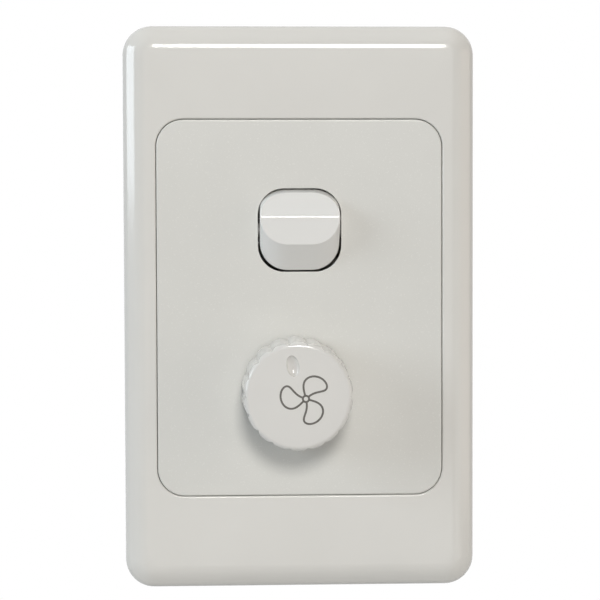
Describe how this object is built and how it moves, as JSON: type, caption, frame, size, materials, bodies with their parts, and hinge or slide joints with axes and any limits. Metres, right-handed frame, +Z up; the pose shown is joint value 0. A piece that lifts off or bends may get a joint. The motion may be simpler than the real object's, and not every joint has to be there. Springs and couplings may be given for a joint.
{
  "type": "fan speed control switch",
  "caption": "Vertical wall plate with a rocker light switch above a fluted rotary knob that sets a ceiling fan off or to one of its speeds.",
  "frame": {"origin": "midway between the two fixing holes, in the plane of the wall", "axes": "+X to the right, +Y into the wall, +Z up"},
  "size_m": [0.0724, 0.0502, 0.116],
  "materials": {
    "surround_white": "satin moulded plastic",
    "plate_white": "satin moulded plastic",
    "rocker_white": "smooth moulded plastic",
    "knob_white": "smooth moulded plastic",
    "nylon": "natural nylon",
    "spring_steel": "drawn wire",
    "mechanism_white": "matt moulded plastic",
    "contact_brass": "stamped strip",
    "terminal_brass": "machined",
    "screw_steel": "zinc plated",
    "case_white": "matt moulded plastic",
    "bush_brass": "turned",
    "washer_steel": "nickel plated",
    "shaft_nylon": "turned nylon",
    "rotor_black": "moulded",
    "wafer_brown": "laminate",
    "ball_steel": "polished",
    "board_green": "solder mask",
    "capacitor_film": "moulded box",
    "resistor_tan": "lacquered"
  },
  "bodies": {
    "wall_unit": {"surround": "surround_white", "grid_plate": "plate_white", "rocker_housing": "mechanism_white", "common_terminal": "terminal_brass", "upper_terminal": "terminal_brass", "lower_terminal": "terminal_brass", "rocker_clamp_screws": "screw_steel", "controller_case": "case_white", "rear_cover": "case_white", "cover_screws": "screw_steel", "threaded_bush": "bush_brass", "bush_washer": "washer_steel", "bush_nut": "washer_steel", "contact_wafer": "wafer_brown", "common_contact": "contact_brass", "speed_contact_1": "contact_brass", "speed_contact_2": "contact_brass", "speed_contact_3": "contact_brass", "circuit_board": "board_green", "large_capacitor": "capacitor_film", "small_capacitor": "capacitor_film", "bleed_resistor": "resistor_tan", "line_terminal": "terminal_brass", "fan_terminal": "terminal_brass", "supply_clamp_screws": "screw_steel", "detent_spring": "spring_steel"},
    "rocker": {"rocker_button": "rocker_white", "plunger_spring": "spring_steel"},
    "plunger": {"rocker_plunger": "nylon"},
    "arm": {"contact_arm": "contact_brass"},
    "rotary": {"knob": "knob_white", "control_shaft": "shaft_nylon", "retaining_ring": "spring_steel", "switch_rotor": "rotor_black", "wiper": "contact_brass"},
    "detent": {"detent_ball": "ball_steel"}
  },
  "joints": [
    {"name": "rocker_tilt", "type": "hinge", "parent": "wall_unit", "child": "rocker", "pos_m": [0, -0.0025, 0.016], "axis": [1, 0, 0], "range_deg": [0, 32.2]},
    {"name": "plunger_slide", "type": "slide", "parent": "rocker", "child": "plunger", "axis": [0, -0.9608, 0.2773], "range_m": [0, 0.001], "stiffness_N_per_m": 300, "springref_m": -0.002, "deforming": ["plunger_spring"]},
    {"name": "arm_tilt", "type": "hinge", "parent": "wall_unit", "child": "arm", "pos_m": [0, 0.0079, 0.016], "axis": [1, 0, 0], "range_deg": [-12, 0]},
    {"name": "knob_turn", "type": "hinge", "parent": "wall_unit", "child": "rotary", "pos_m": [-0.0008, 0, -0.01705], "axis": [0, 1, 0], "range_deg": [0, 135]},
    {"name": "detent_slide", "type": "slide", "parent": "wall_unit", "child": "detent", "axis": [0, 0, 1], "range_m": [0, 0.0008], "stiffness_N_per_m": 500, "springref_m": -0.002, "deforming": ["detent_spring"]}
  ],
  "couplings": [
    {"joint": "arm_tilt", "follows": "rocker_tilt", "ratio": -0.37267}
  ]
}
